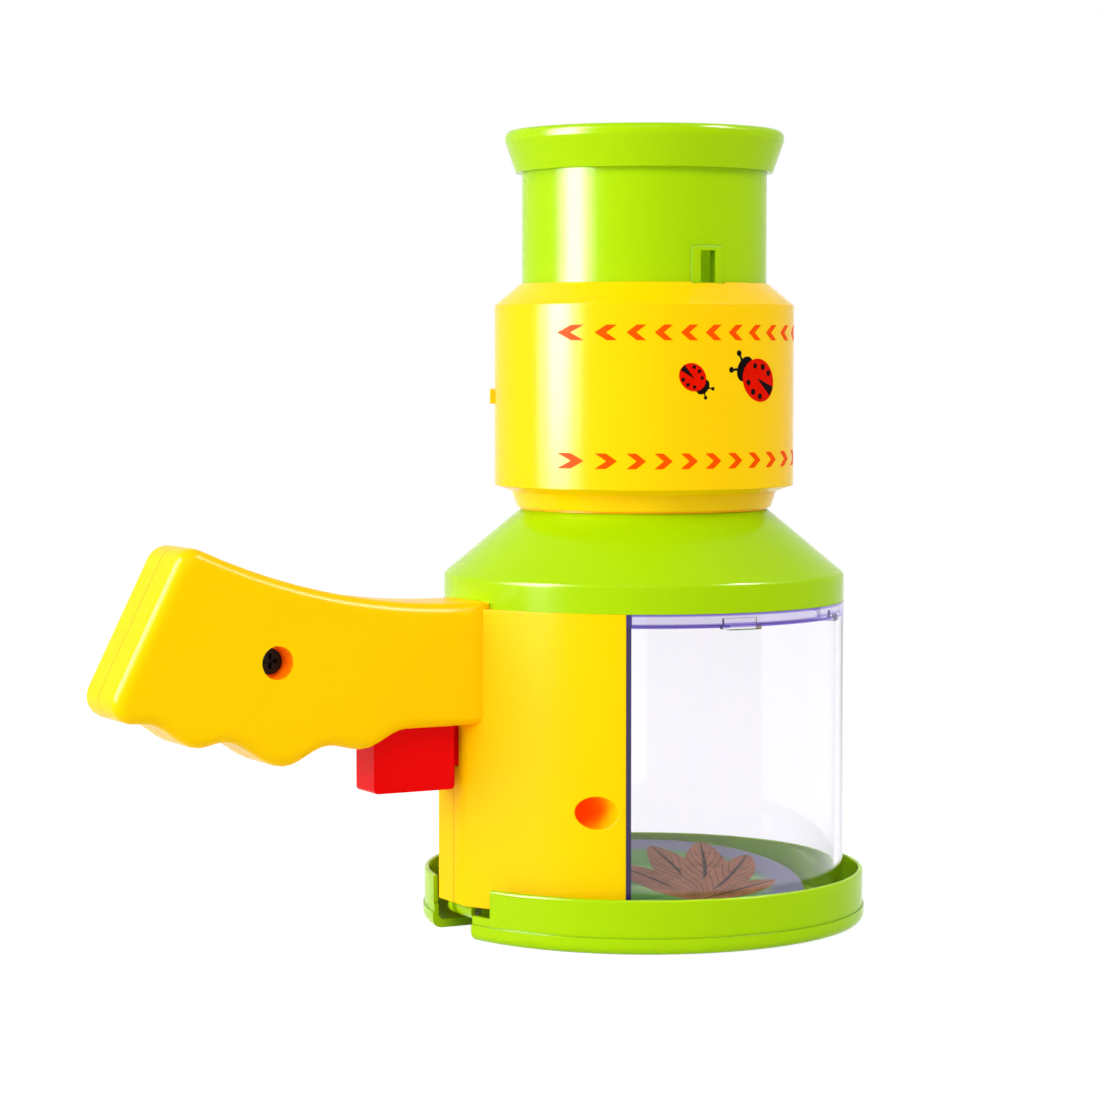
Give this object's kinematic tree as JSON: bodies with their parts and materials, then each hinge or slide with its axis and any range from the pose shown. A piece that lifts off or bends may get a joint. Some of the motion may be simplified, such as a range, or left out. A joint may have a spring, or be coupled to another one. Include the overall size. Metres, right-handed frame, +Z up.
{
  "type": "bug catcher jar",
  "caption": "Handled bug catcher with a clear viewing chamber, a trigger-opened base tray and a sliding magnifying eyepiece.",
  "frame": {"origin": "centre of the base tray's underside, on the table", "axes": "+Z up along the chamber and eyepiece, -X along the handle, Y across the parting plane"},
  "size_m": [0.1983, 0.11, 0.195],
  "materials": {
    "yellow_shell": "glossy moulded ABS",
    "yellow_collar": "glossy moulded ABS, printed",
    "lime_moulding": "glossy moulded ABS",
    "red_trigger": "glossy moulded ABS",
    "clear_chamber": "clear moulded polystyrene with polished edges",
    "lens": "clear acrylic, polished",
    "black_ring": "matt black moulded ring",
    "screw_steel": "zinc-plated steel",
    "pin_steel": "drawn steel",
    "printed_card": "printed card, laminated"
  },
  "bodies": {
    "body": {"near_body_half": "yellow_shell", "far_body_half": "yellow_shell", "viewing_chamber": "clear_chamber", "shoulder": "lime_moulding", "focus_collar": "yellow_collar", "objective_lens": "lens", "objective_ring": "black_ring", "handle_screw": "screw_steel", "body_screw": "screw_steel", "hinge_pin": "pin_steel", "trigger_spring": "pin_steel"},
    "eyepiece": {"eyepiece_tube": "lime_moulding", "eyepiece_cap": "lime_moulding", "eye_lens": "lens", "eye_lens_ring": "black_ring"},
    "tray": {"base_tray": "lime_moulding", "link_pin": "pin_steel", "picture_card": "printed_card"},
    "trigger": {"trigger": "red_trigger", "pull_rod": "lime_moulding"}
  },
  "joints": [
    {"name": "tray_hinge", "type": "hinge", "parent": "body", "child": "tray", "pos_m": [-0.035, 0, 0.006], "axis": [0, 1, 0], "range_deg": [0, 18], "stiffness_Nm_per_rad": 0.12, "springref_deg": -20.05},
    {"name": "trigger_slide", "type": "slide", "parent": "body", "child": "trigger", "axis": [0, 0, 1], "range_m": [0, 0.0046], "deforming": ["trigger_spring"]},
    {"name": "focus_slide", "type": "slide", "parent": "body", "child": "eyepiece", "axis": [0, 0, 1], "range_m": [-0.006, 0.012]}
  ],
  "couplings": [
    {"joint": "trigger_slide", "follows": "tray_hinge", "m_per_rad": 0.0145}
  ]
}
